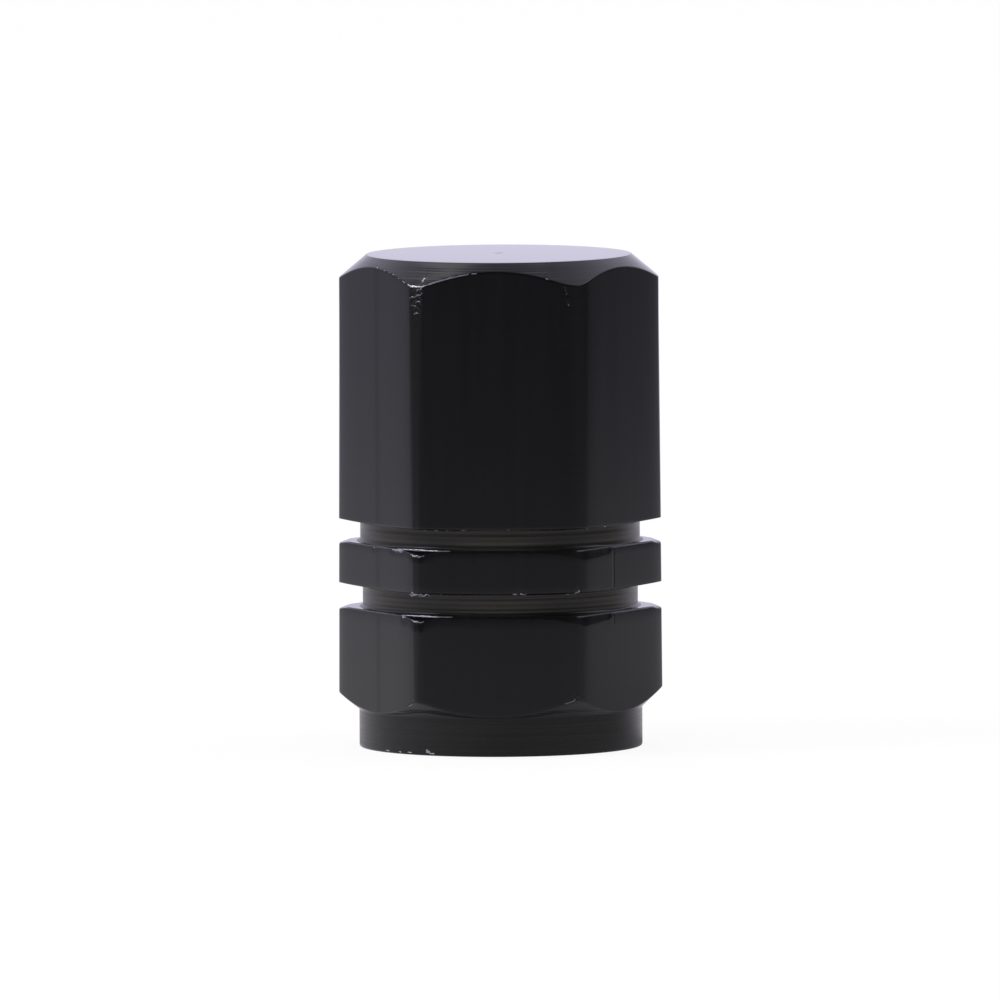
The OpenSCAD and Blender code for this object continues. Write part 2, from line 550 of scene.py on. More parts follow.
@dataclass(frozen=True)
class CapBody:
    """The body: hexagon bar with both ends chamfered, two grooves and a bored hole.

    Args:
        bar: The bar that it is turned from.
        height: Height from the rim to the top face.
        thread_r: Radius inside the thread's crests.
        top_inset: How far the edge of the top face lies inside the flats.
        top_slope: Slope of the top chamfer above the horizontal, in degrees.
        skirt_h: Height of the round skirt.
        skirt_inset: How far the skirt lies inside the flats.
        skirt_lean: How far the foot of the bottom chamfer rises to one side.
        bottom_slope: Slope of the bottom chamfer, in degrees.
        bottom_lean: How much steeper it is to that side.
        rim_break: Edge break round the outside of the rim.
        upper: The groove above the hexagon ring.
        lower: The groove below it.
        root_depth: Depth of the valve thread.
        mouth_lead: How far the mouth opens beyond the thread's roots.
        thread_start: Height at which the thread starts.
        thread_end: Height at which the threaded bore ends.
        thread_runout: How far below that the thread itself ends.
        relief_depth: How far the relief behind the thread is cut beyond its roots.
        seat: Height of the seal's seat.
        drill_point_angle: Angle of the drill's point, in degrees.
        edge_break: Rounding of the edges between the hexagon and the chamfers.
        top_break: Rounding of the edge of the top face.
        top_crown: How far the middle of the top face stands proud.
        pip_r: Radius of the pip that the facing tool left in the middle.
        pip_depth: Its depth.
        foot_band: Height of the narrow row of faces in which a wall ends, beside its rounded edge.
        wave_mm: Length of one wave of a wandering nick.
        nick_fade: How far a nick fades out past its ends, in degrees.
        nick_fringe: How far the bare metal reaches past its burr.
        chatter: The ripples on one corner.
        nicks: The nicks.
    """

    bar: DrawnBar
    height: float
    thread_r: float
    top_inset: float = 0.35
    top_slope: float = 40.0
    skirt_h: float = 1.35
    skirt_inset: float = 0.03
    skirt_lean: float = 0.02
    bottom_slope: float = 41.0
    bottom_lean: float = 3.0
    rim_break: float = 0.08
    upper: Groove = Groove(floor_r=4.91, ledge=7.24, eave=7.96)
    lower: Groove = Groove(floor_r=4.83, ledge=4.93, eave=5.71)
    root_depth: float = 0.425
    mouth_lead: float = 0.15
    thread_start: float = 0.5
    thread_end: float = 9.3
    thread_runout: float = 0.2
    relief_depth: float = 0.1
    seat: float = 11.3
    drill_point_angle: float = 118.0
    edge_break: float = 0.04
    top_break: float = 0.02
    top_crown: float = 0.015
    pip_r: float = 0.09
    pip_depth: float = 0.006
    foot_band: float = 0.03
    wave_mm: float = 0.2
    nick_fade: float = 0.3
    nick_fringe: float = 0.012
    chatter: Chatter = Chatter()
    nicks: tuple[Nick, ...] = NICKS

    @property
    def skirt_r(self) -> float:
        """Radius of the round skirt."""
        return self.bar.flat_r - self.skirt_inset

    @property
    def top_r(self) -> float:
        """Radius of the round top face."""
        return self.bar.flat_r - self.top_inset

    @property
    def root_r(self) -> float:
        """Radius at the roots of the valve thread."""
        return self.thread_r + self.root_depth

    def top_edge(self, reach: np.ndarray) -> np.ndarray:
        """Height at which the top chamfer meets the bar."""
        return self.height - (reach - self.top_r) * math.tan(math.radians(self.top_slope))

    def bottom_cone(self, angle: np.ndarray) -> tuple[np.ndarray, np.ndarray]:
        """Foot and slope in radians of the bottom chamfer, which was cut a little out of true."""
        lean = np.cos(np.radians(angle))
        return self.skirt_h + self.skirt_lean * lean, np.radians(self.bottom_slope + self.bottom_lean * lean)

    def bottom_edge(self, angle: np.ndarray, reach: np.ndarray) -> np.ndarray:
        """Height at which the bottom chamfer meets the bar."""
        foot, slope = self.bottom_cone(angle)
        return foot + (reach - self.skirt_r) * np.tan(slope)

    def edge_line(self, edge: Edge, angle: np.ndarray) -> tuple[np.ndarray, np.ndarray]:
        """Radius and height of an edge at each angle.

        Args:
            edge: The edge.
            angle: Angles round the axis, in degrees.

        Returns:
            Its radius and its height at each angle.
        """
        groove = self.upper if edge in (Edge.RING_LIP, Edge.RING_CREST) else self.lower
        level_at = {Edge.TOP_SCALLOP: self.height, Edge.UPPER_FOOT: self.upper.ledge,
                    Edge.BOTTOM_SCALLOP: self.skirt_h}.get(edge, groove.ledge)
        reach = self.bar.reach(angle, level_at)
        start, fall = groove.broken_edge(angle, reach, self.bar.corner_at(level_at))
        level = np.ones_like(reach)
        if edge is Edge.RIM:
            return self.skirt_r * level, self.rim_break * level
        if edge in (Edge.RING_LIP, Edge.LOWER_LIP):
            return start, groove.ledge * level
        heights = {
            Edge.TOP_SCALLOP: self.top_edge(reach),
            Edge.UPPER_FOOT: self.upper.eave * level,
            Edge.RING_CREST: groove.ledge - fall,
            Edge.RING_FOOT: self.lower.eave * level,
            Edge.LOWER_CREST: groove.ledge - fall,
            Edge.BOTTOM_SCALLOP: self.bottom_edge(angle, reach),
        }
        return reach, heights[edge]

    def nick_line(self, nick: Nick, angle: np.ndarray) -> tuple[np.ndarray, np.ndarray]:
        """Radius and height of the line that a nick follows.

        Args:
            nick: The nick.
            angle: Angles round the axis, in degrees.

        Returns:
            Its radius and its height at each angle.
        """
        radius, height = self.edge_line(nick.edge, angle)
        share = np.clip((angle - nick.first) / nick.length, 0, 1)
        waves = math.radians(nick.length) * self.bar.flat_r / self.wave_mm
        rise = nick.rise + nick.slant * share + nick.wave * np.sin(2 * math.pi * waves * share)
        if nick.edge is not Edge.TOP_SCALLOP:
            return radius, height + rise
        slope = math.radians(self.top_slope)
        up, down = np.maximum(rise, 0), np.minimum(rise, 0)
        return radius - up * math.cos(slope), height + up * math.sin(slope) + down

    def section(self, angles: np.ndarray) -> LatheSection:
        """Set out the whole section at every station, from the top's centre to the drill point.

        Args:
            angles: The stations, in degrees.

        Returns:
            The section.
        """
        ring, lower = (self.bar.reach(angles, groove.ledge) for groove in (self.upper, self.lower))
        cut = LatheSection(len(angles))
        self.top_end(cut, self.bar.reach(angles, self.height), ring)
        self.upper.cut(cut, angles, ring, self.bar.corner_at(self.upper.ledge))
        cut.to(lower, self.lower.eave + self.lower.eave_rise + self.foot_band, Finish.DRAWN, 6)
        self.lower.cut(cut, angles, lower, self.bar.corner_at(self.lower.ledge))
        self.bottom_end(cut, angles, self.bar.reach(angles, self.skirt_h))
        self.bore(cut)
        return cut

    def top_end(self, cut: LatheSection, reach: np.ndarray, foot_reach: np.ndarray) -> None:
        """Run the section from the top's centre to the foot of the upper hexagon.

        Args:
            cut: The section, with no rows yet.
            reach: Radius of the bar at each station, at the top.
            foot_reach: Its radius at the foot of the upper hexagon.
        """
        slope = math.radians(self.top_slope)
        soft, brink = self.edge_break, self.top_break
        middle = self.height + self.top_crown
        cut.start(0, middle - self.pip_depth)
        cut.to(0.6 * self.pip_r, middle - self.pip_depth, Finish.FACED)
        cut.to(self.pip_r, middle, Finish.FACED, 2)
        for share in np.linspace(0.1, 1, 12):
            cut.to(share * (self.top_r - brink), middle - self.top_crown * share ** 2, Finish.FACED)
        cut.bend((self.top_r, self.height),
                 (self.top_r + brink * math.cos(slope), self.height - brink * math.sin(slope)),
                 Finish.CHAMFERED)
        edge = self.top_edge(reach)
        cut.to(reach - 2 * soft * math.cos(slope), edge + 2 * soft * math.sin(slope), Finish.CHAMFERED, 4)
        cut.to(reach - soft * math.cos(slope), edge + soft * math.sin(slope), Finish.CHAMFERED)
        cut.bend((reach, edge), (reach, edge - soft), Finish.TURNED)
        rows = round((self.chatter.length + self.chatter.start) / self.chatter.row)
        cut.to(reach, edge - soft - self.chatter.row * rows, Finish.DRAWN, rows)
        foot = self.upper.eave + self.upper.eave_rise
        cut.to(foot_reach, foot + 2 * self.foot_band, Finish.DRAWN, 9)
        cut.to(foot_reach, foot + self.foot_band, Finish.DRAWN)

    def bottom_end(self, cut: LatheSection, angle: np.ndarray, reach: np.ndarray) -> None:
        """Run the section from the crest of the lower hexagon to the rim.

        Args:
            cut: The section so far.
            angle: The stations, in degrees.
            reach: Radius of the bar at each station, at the skirt.
        """
        foot, slope = self.bottom_cone(angle)
        edge = self.bottom_edge(angle, reach)
        soft = np.minimum(self.edge_break, 0.4 * (reach - self.skirt_r))
        cut.to(reach, edge + 0.12, Finish.DRAWN, 8)
        cut.to(reach, edge + soft, Finish.DRAWN)
        cut.bend((reach, edge), (reach - soft * np.cos(slope), edge - soft * np.sin(slope)),
                 Finish.TURNED)
        cut.to(self.skirt_r, foot, Finish.CHAMFERED, 3)
        cut.to(self.skirt_r, foot - self.foot_band, Finish.TURNED)
        cut.to(self.skirt_r, self.rim_break + self.foot_band, Finish.SKIRT, 6)
        cut.to(self.skirt_r, self.rim_break, Finish.TURNED)
        cut.bend((self.skirt_r, 0), (self.skirt_r - self.rim_break, 0), Finish.TURNED)

    def bore(self, cut: LatheSection) -> None:
        """Run the section over the rim and up the bore to the drill point.

        Args:
            cut: The section so far.
        """
        mouth_r = self.root_r + self.mouth_lead
        cut.to(mouth_r + 0.03, 0, Finish.TURNED, 3)
        cut.bend((mouth_r, 0), (mouth_r - 0.03, 0.03), Finish.BORED, 2)
        cut.to(self.root_r, self.mouth_lead, Finish.BORED)
        cut.to(self.root_r, self.thread_end, Finish.BORED, 4)
        relief_r = self.root_r + self.relief_depth
        cut.to(relief_r, self.thread_end + self.relief_depth, Finish.BORED)
        cut.to(relief_r, self.seat, Finish.BORED, 2)
        cut.to(self.thread_r, self.seat, Finish.BORED)
        point = self.thread_r / math.tan(math.radians(self.drill_point_angle / 2))
        cut.to(0, self.seat + point, Finish.BORED, 4)

    def wear(self, points: np.ndarray, angles: np.ndarray, reach: np.ndarray) -> np.ndarray:
        """Knock the nicks and the chatter into the grid of points.

        Args:
            points: The grid, as rows by stations by three, in millimetres. It is changed in place.
            angles: The stations, in degrees.
            reach: Radius of the bar at each station.

        Returns:
            How bare the metal is at each point, from 0 to 1.
        """
        bare = np.zeros(points.shape[:2])
        outward = np.stack([np.cos(np.radians(angles)), np.sin(np.radians(angles)), np.zeros(len(angles))], 1)
        for nick in self.nicks:
            middle = (nick.first + nick.last) / 2
            turned = (angles - middle + 180) % 360 - 180 + middle
            beyond = np.maximum(0, np.maximum(nick.first - turned, turned - nick.last))
            radius, height = self.nick_line(nick, turned)
            inward = radius - np.hypot(points[..., 0], points[..., 1])
            across = np.hypot(inward, points[..., 2] - height)
            fringe = 0.6 * nick.girth + self.nick_fringe
            near = np.exp(-(beyond / self.nick_fade) ** 2 - (across / fringe) ** 2)
            points -= outward * (near * nick.dent)[..., None]
            bare = np.maximum(bare, near)
        mark = self.chatter
        off = (angles - mark.angle + 180) % 360 - 180
        below = self.top_edge(reach) - mark.start - points[..., 2]
        inside = (below > 0) & (below < mark.length) & (np.abs(off) < mark.half_width)
        inside &= np.hypot(points[..., 0], points[..., 1]) > self.root_r + 1
        bow, stray = mark.bow * mark.pitch, mark.stray * mark.pitch
        sweep = below + bow * np.cos(off * 1.3) + stray * np.sin(17 * below)
        ripple = 0.5 + 0.5 * np.cos(2 * math.pi * sweep / mark.pitch)
        fade = np.where(inside, (1 - below / mark.length) * (1 - (off / mark.half_width) ** 2), 0)
        points -= outward * (fade * (1 - ripple) * mark.depth)[..., None]
        return bare

    def way_round(self, angles: np.ndarray) -> np.ndarray:
        """Measure the way round the bar, from the first station to each one.

        Args:
            angles: The stations, in degrees.

        Returns:
            The way in millimetres, with the whole way round as one value more.
        """
        turn, reach = np.radians(angles), self.bar.reach(angles, self.bar.true_height)
        outline = np.stack([reach * np.cos(turn), reach * np.sin(turn)], 1)
        steps = np.linalg.norm(np.roll(outline, -1, 0) - outline, axis=1)
        return np.concatenate([[0], np.cumsum(steps)])

    def grid_faces(self, rows: int, columns: int) -> tuple[list[tuple[int, ...]], list[tuple[int, int]]]:
        """Close a grid of points with faces, which meet in one point at each end.

        Args:
            rows: The grid's rows. The first and the last are one point each.
            columns: Its stations.

        Returns:
            The faces, and the row and column of each of their corners.
        """
        tip = 1 + (rows - 2) * columns
        faces: list[tuple[int, ...]] = []
        corners: list[tuple[int, int]] = []
        for row in range(rows - 1):
            for column in range(columns):
                after = (column + 1) % columns
                above, below = 1 + (row - 1) * columns, 1 + row * columns
                corner = [(row, column), (row + 1, column), (row + 1, column + 1), (row, column + 1)]
                if row == 0:
                    faces.append((0, below + column, below + after))
                    corner = corner[:3]
                elif row == rows - 2:
                    faces.append((above + column, tip, above + after))
                    corner = [corner[0], corner[1], corner[3]]
                else:
                    faces.append((above + column, below + column, below + after, above + after))
                corners += corner
        return faces, corners

    def face_finishes(self, cut: LatheSection, angles: np.ndarray) -> list[int]:
        """Give each face its finish, and the turned corners of the bar theirs.

        Args:
            cut: The section, which has one finish for each row of faces.
            angles: The stations, in degrees.

        Returns:
            The number of each face's material.
        """
        reach = self.bar.reach(angles, self.bar.true_height)
        on_corner = reach > self.bar.corner_r - self.bar.blend_at(angles)
        turned = on_corner & np.roll(on_corner, -1)
        return [(Finish.TURNED if finish is Finish.DRAWN and corner else finish).value
                for finish in cut.finishes for corner in turned]

    def build(self, materials: Sequence[bpy.types.Material]) -> bpy.types.Object:
        """Make the body as one closed mesh.

        Args:
            materials: One material for each finish.

        Returns:
            The piece.
        """
        angles = self.bar.stations(corner_zone=4.5, corner_step=0.25, step=1.2, front_step=0.6)
        cut = self.section(angles)
        radii, heights = np.array(cut.radii), np.array(cut.heights)
        turn = np.radians(angles)
        points = np.stack([radii * np.cos(turn), radii * np.sin(turn), heights], 2)
        bare = self.wear(points, angles, self.bar.reach(angles, self.height))
        inner = points[1:-1].reshape(-1, 3)
        vertices = np.vstack([points[0, :1], inner, points[-1, :1]]) * MM
        faces, corners = self.grid_faces(*radii.shape)
        mesh = bpy.data.meshes.new("cap_body_finished")
        mesh.from_pydata(vertices.tolist(), [], faces)
        for material in materials:
            mesh.materials.append(material)
        mesh.polygons.foreach_set("material_index", self.face_finishes(cut, angles))
        around = self.way_round(angles)
        places = [(around[c], points[r, c % len(angles), 2]) for r, c in corners]
        mesh.uv_layers.new(name=SURFACE_MAP).data.foreach_set("uv", np.array(places, float).ravel())
        layer = mesh.attributes.new(BARE_ATTRIBUTE, "FLOAT", "POINT")
        layer.data.foreach_set("value", np.concatenate([[0], bare[1:-1].ravel(), [0]]))
        mesh.shade_smooth()
        mesh.update()
        return new_object("cap_body_finished", mesh)


@dataclass(frozen=True)
class ValveThread:
    """The ridge of the valve thread, wound up the bore in Geometry Nodes.

    Args:
        root_r: Radius at the thread's roots, where the ridge stands on the wall.
        crest_r: Radius inside its crests.
        start: Height of its lower end.
        end: Height of its upper end.
        pitch: Rise in one turn, for 32 threads per inch.
        crest_w: Width of the ridge at its crest.
        root_w: Its width at its root.
        bedding: How deep the ridge is bedded into the wall.
        taper_turns: Turns over which each end runs out.
        steps_per_turn: Steps in one turn.
    """

    root_r: float
    crest_r: float
    start: float
    end: float
    pitch: float = 25.4 / 32
    crest_w: float = 0.12
    root_w: float = 0.66
    bedding: float = 0.03
    taper_turns: float = 0.4
    steps_per_turn: int = 72

    def tree(self) -> bpy.types.NodeTree:
        """Build the tree: a helix that carries the ridge's section and tapers at both ends.

        The spiral is reversed, which makes the thread right-hand, so the section's crest faces -X.

        Returns:
            The tree.
        """
        tree = bpy.data.node_groups.new("valve_thread", "GeometryNodeTree")
        face = tree.interface
        for name, kind in (("Root radius", "NodeSocketFloat"), ("Crest height", "NodeSocketFloat"),
                           ("Crest width", "NodeSocketFloat"), ("Root width", "NodeSocketFloat"),
                           ("Turns", "NodeSocketFloat"), ("Rise", "NodeSocketFloat"),
                           ("Start", "NodeSocketFloat"), ("Steps per turn", "NodeSocketInt"),
                           ("Taper share", "NodeSocketFloat"), ("Material", "NodeSocketMaterial")):
            face.new_socket(name, in_out="INPUT", socket_type=kind)
        face.new_socket("Geometry", in_out="OUTPUT", socket_type="NodeSocketGeometry")
        given = add_node(tree, "NodeGroupInput").outputs
        helix = add_node(tree, "GeometryNodeCurveSpiral", {
            "Resolution": given["Steps per turn"], "Rotations": given["Turns"],
            "Start Radius": given["Root radius"], "End Radius": given["Root radius"],
            "Height": given["Rise"], "Reverse": True})
        lift = add_node(tree, "ShaderNodeCombineXYZ", {"Z": given["Start"]})
        raised = add_node(tree, "GeometryNodeTransform", {
            "Geometry": helix.outputs["Curve"], "Translation": lift.outputs["Vector"]})
        upright = add_node(tree, "GeometryNodeSetCurveNormal", {"Curve": raised.outputs["Geometry"]},
                           mode="Z_UP")
        share = add_node(tree, "GeometryNodeSplineParameter")
        from_end = add_node(tree, "ShaderNodeMath", {0: 1.0, 1: share.outputs["Factor"]},
                            operation="SUBTRACT")
        nearest = add_node(tree, "ShaderNodeMath", {0: share.outputs["Factor"], 1: from_end.outputs[0]},
                           operation="MINIMUM")
        taper = add_node(tree, "ShaderNodeMapRange", {
            "Value": nearest.outputs[0], "From Max": given["Taper share"], "To Min": 0.05, "To Max": 1.0})
        ridge = add_node(tree, "GeometryNodeCurvePrimitiveQuadrilateral", {
            "Height": given["Crest height"], "Bottom Width": given["Root width"],
            "Top Width": given["Crest width"], "Offset": 0.0}, mode="TRAPEZOID")
        half = add_node(tree, "ShaderNodeMath", {0: given["Crest height"], 1: -0.5}, operation="MULTIPLY")
        inward = add_node(tree, "ShaderNodeCombineXYZ", {"X": half.outputs[0]})
        turned = add_node(tree, "GeometryNodeTransform", {
            "Geometry": ridge.outputs["Curve"], "Translation": inward.outputs["Vector"],
            "Rotation": (0.0, 0.0, math.pi / 2)})
        swept = add_node(tree, "GeometryNodeCurveToMesh", {
            "Curve": upright.outputs["Curve"], "Profile Curve": turned.outputs["Geometry"],
            "Scale": taper.outputs["Result"], "Fill Caps": True})
        real = add_node(tree, "GeometryNodeRealizeInstances", {"Geometry": swept.outputs["Mesh"]})
        dressed = add_node(tree, "GeometryNodeSetMaterial", {
            "Geometry": real.outputs["Geometry"], "Material": given["Material"]})
        add_node(tree, "NodeGroupOutput", {"Geometry": dressed.outputs["Geometry"]})
        return tree

    def build(self, material: bpy.types.Material) -> bpy.types.Object:
        """Wind the ridge.

        Args:
            material: Finish of the bore.

        Returns:
            The piece.
        """
        turns = (self.end - self.start) / self.pitch
        start = bpy.data.meshes.new("valve_thread_start")
        return from_tree("valve_thread", start, self.tree(), {
            "Root radius": (self.root_r + self.bedding) * MM,
            "Crest height": (self.root_r + self.bedding - self.crest_r) * MM,
            "Crest width": self.crest_w * MM, "Root width": self.root_w * MM,
            "Turns": turns, "Rise": (self.end - self.start) * MM, "Start": self.start * MM,
            "Steps per turn": self.steps_per_turn, "Taper share": self.taper_turns / turns,
            "Material": material})


@dataclass(frozen=True)
class EdgeBurrs:
    """Fine burrs of bare metal that the tools left standing along the nicked edges.

    Args:
        body: The body that they stand on.
        step: Distance in degrees from point to point along a burr.
        lump: Size of the lumps along a burr.
        thin: Girth between two lumps, as a share of the nick's.
        thick: Girth at the top of a lump.
        roughness: How far its surface is torn.
        tear: Size of one tear.
        sides: Sides of its section.
    """

    body: CapBody
    step: float = 0.35
    lump: float = 0.16
    thin: float = 0.45
    thick: float = 1.4
    roughness: float = 0.012
    tear: float = 1 / 22
    sides: int = 6

    def tree(self) -> bpy.types.NodeTree:
        """Build the tree: a thin, lumpy thread of metal along each line, tapered by its girth.

        Returns:
            The tree.
        """
        tree = bpy.data.node_groups.new("edge_burrs", "GeometryNodeTree")
        face = tree.interface
        face.new_socket("Geometry", in_out="INPUT", socket_type="NodeSocketGeometry")
        for name, kind in (("Lump size", "NodeSocketFloat"), ("Roughness", "NodeSocketFloat"),
                           ("Sides", "NodeSocketInt"), ("Material", "NodeSocketMaterial")):
            face.new_socket(name, in_out="INPUT", socket_type=kind)
        face.new_socket("Geometry", in_out="OUTPUT", socket_type="NodeSocketGeometry")
        given = add_node(tree, "NodeGroupInput").outputs
        lines = add_node(tree, "GeometryNodeMeshToCurve", {"Mesh": given["Geometry"]})
        place = add_node(tree, "GeometryNodeInputPosition")
        per_metre = add_node(tree, "ShaderNodeMath", {0: 1.0, 1: given["Lump size"]}, operation="DIVIDE")
        lumps = add_node(tree, "ShaderNodeTexNoise", {
            "Vector": place.outputs["Position"], "Scale": per_metre.outputs[0], "Detail": 1.0})
        uneven = add_node(tree, "ShaderNodeMapRange", {
            "Value": lumps.outputs["Fac"], "From Min": 0.3, "From Max": 0.7, "To Min": self.thin,
            "To Max": self.thick})
        girth = add_node(tree, "GeometryNodeInputNamedAttribute", {"Name": "girth"}, data_type="FLOAT")
        thick = add_node(tree, "ShaderNodeMath", {0: uneven.outputs["Result"], 1: girth.outputs[0]},
                         operation="MULTIPLY")
        section = add_node(tree, "GeometryNodeCurvePrimitiveCircle", {
            "Resolution": given["Sides"], "Radius": 0.5})
        swept = add_node(tree, "GeometryNodeCurveToMesh", {
            "Curve": lines.outputs["Curve"], "Profile Curve": section.outputs["Curve"],
            "Scale": thick.outputs[0], "Fill Caps": True})
        torn = add_node(tree, "ShaderNodeTexNoise", {
            "Vector": place.outputs["Position"], "Scale": 1 / (self.tear * MM), "Detail": 1.0})
        centred = add_node(tree, "ShaderNodeVectorMath", {
            0: torn.outputs["Color"], 1: (0.5, 0.5, 0.5)}, operation="SUBTRACT")
        shove = add_node(tree, "ShaderNodeVectorMath", {
            0: centred.outputs["Vector"], "Scale": given["Roughness"]}, operation="SCALE")
        jagged = add_node(tree, "GeometryNodeSetPosition", {
            "Geometry": swept.outputs["Mesh"], "Offset": shove.outputs["Vector"]})
        real = add_node(tree, "GeometryNodeRealizeInstances", {"Geometry": jagged.outputs["Geometry"]})
        dressed = add_node(tree, "GeometryNodeSetMaterial", {
            "Geometry": real.outputs["Geometry"], "Material": given["Material"]})
        add_node(tree, "NodeGroupOutput", {"Geometry": dressed.outputs["Geometry"]})
        return tree

    def build(self, material: bpy.types.Material) -> bpy.types.Object:
        """Lay one burr along each nick.

        Args:
            material: Finish of the bare metal.

        Returns:
            The piece.
        """
        places: list[tuple[float, float, float]] = []
        links: list[tuple[int, int]] = []
        girths: list[float] = []
        for nick in self.body.nicks:
            count = max(4, math.ceil(nick.length / self.step))
            share = np.linspace(0, 1, count + 1)
            angle = nick.first + nick.length * share
            radius, height = self.body.nick_line(nick, angle)
            turn = np.radians(angle)
            radius = radius - nick.dent
            links += [(len(places) + i, len(places) + i + 1) for i in range(count)]
            places += list(zip(radius * np.cos(turn) * MM, radius * np.sin(turn) * MM, height * MM))
            girths += list(nick.girth * MM * (0.1 + 0.9 * np.sin(math.pi * share)))
        start = bpy.data.meshes.new("edge_burr_lines")
        start.from_pydata(places, links, [])
        start.attributes.new("girth", "FLOAT", "POINT").data.foreach_set("value", girths)
        return from_tree("edge_burrs", start, self.tree(), {
            "Lump size": self.lump * MM, "Roughness": self.roughness * MM, "Sides": self.sides,
            "Material": material})


@dataclass(frozen=True)
class SealRing:
    """The moulded rubber ring at the closed end of the bore.

    Args:
        outer_r: Its outer radius.
        low: Height of its lower face.
        high: Height of its upper face.
        hole_r: Radius of its hole.
        soft: Rounding of its edges.
        dip_r: Radius of the shallow ring-shaped dip in its lower face, where the valve's mouth seats.
        dip_h: Depth of the dip.
        dip_w: Half its width.
        stations: How many stations lie round it.
    """

    outer_r: float
    low: float
    high: float
    hole_r: float = 1.6
    soft: float = 0.18
    dip_r: float = 2.7
    dip_h: float = 0.09
    dip_w: float = 0.3
    stations: int = 120

    def outline(self) -> list[tuple[float, float]]:
        """Section of the ring, counter-clockwise.

        Returns:
            Its points, as a radius and a height each.
        """
        points: list[tuple[float, float]] = []
        for centre_r, centre_z, first in ((self.outer_r - self.soft, self.low + self.soft, -90),
                                          (self.outer_r - self.soft, self.high - self.soft, 0),
                                          (self.hole_r + self.soft, self.high - self.soft, 90),
                                          (self.hole_r + self.soft, self.low + self.soft, 180)):
            for step in range(6):
                turn = math.radians(first + 18 * step)
                points.append((centre_r + self.soft * math.cos(turn), centre_z + self.soft * math.sin(turn)))
        for step in range(9):
            share = step / 8
            points.append((self.dip_r + self.dip_w * (2 * share - 1),
                           self.low + self.dip_h * math.sin(math.pi * share) ** 2))
        return points

    def build(self, material: bpy.types.Material) -> bpy.types.Object:
        """Turn the section round the axis.

        Args:
            material: The rubber.

        Returns:
            The piece.
        """
        outline = self.outline()
        count = len(outline)
        vertices, faces = [], []
        for station in range(self.stations):
            turn = 2 * math.pi * station / self.stations
            vertices += [(r * math.cos(turn) * MM, r * math.sin(turn) * MM, z * MM) for r, z in outline]
            after = (station + 1) % self.stations
            for point in range(count):
                following = (point + 1) % count
                faces.append((station * count + point, after * count + point,
                              after * count + following, station * count + following))
        mesh = bpy.data.meshes.new("seal_ring_moulded")
        mesh.from_pydata(vertices, [], faces)
        mesh.materials.append(material)
        mesh.shade_smooth()
        mesh.update()
        return new_object("seal_ring_moulded", mesh)


@dataclass(frozen=True)
class DieLine:
    """A line that a nick in the die drew along one flat.

    Args:
        side: Which flat, counted from the front one.
        offset: Distance from the middle of the flat.
        width: Width of the line.
        low: Height at which it starts to show.
        high: Height at which it stops.
        depth: How deep it is, as a share of the draw marks' depth.
        dull: How much of its gloss the film has lost in it.
    """

    side: int
    offset: float
    width: float
    low: float
    high: float
    depth: float
    dull: float


@dataclass(frozen=True)
class Marks:
    """What a tool left on a surface.

    Args:
        height: Socket that gives the height of the marks.
        pattern: Socket from 0 to 1 that the roughness follows.
        depth: Depth of the marks in millimetres.
        gloss: Strength of the reflection, where 0.5 is that of the full film.
    """

    height: bpy.types.NodeSocket
    pattern: bpy.types.NodeSocket
    depth: float
    gloss: bpy.types.NodeSocket | float = 0.5


